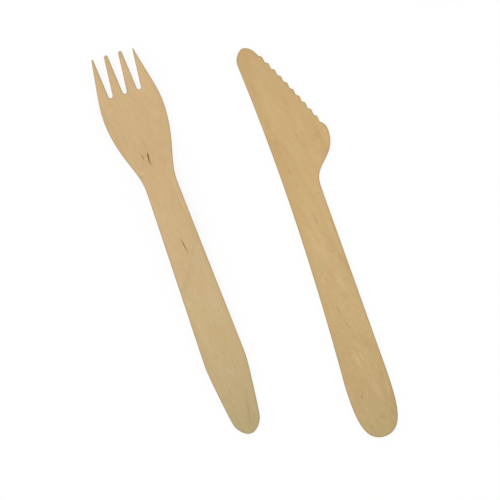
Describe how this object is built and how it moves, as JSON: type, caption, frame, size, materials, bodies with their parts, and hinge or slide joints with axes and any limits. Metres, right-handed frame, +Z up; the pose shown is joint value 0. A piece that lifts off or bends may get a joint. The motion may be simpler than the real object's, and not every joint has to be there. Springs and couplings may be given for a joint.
{
  "type": "wooden cutlery set",
  "caption": "Disposable birch cutlery: a pressed fork with tapered tines and a flat knife with a toothed edge, lying side by side on a table.",
  "frame": {"origin": "on the table, under the middle of the set's box", "axes": "+Y along the fork towards its tips, +X from the fork to the knife, +Z up from the table"},
  "size_m": [0.082, 0.1788, 0.0084],
  "materials": {
    "fork_birch": "bare pressed birch veneer, tumbled smooth, satin",
    "knife_birch": "bare pressed birch veneer, tumbled smooth, satin"
  },
  "bodies": {
    "root": {"fork": "fork_birch", "knife": "knife_birch"}
  },
  "joints": []
}
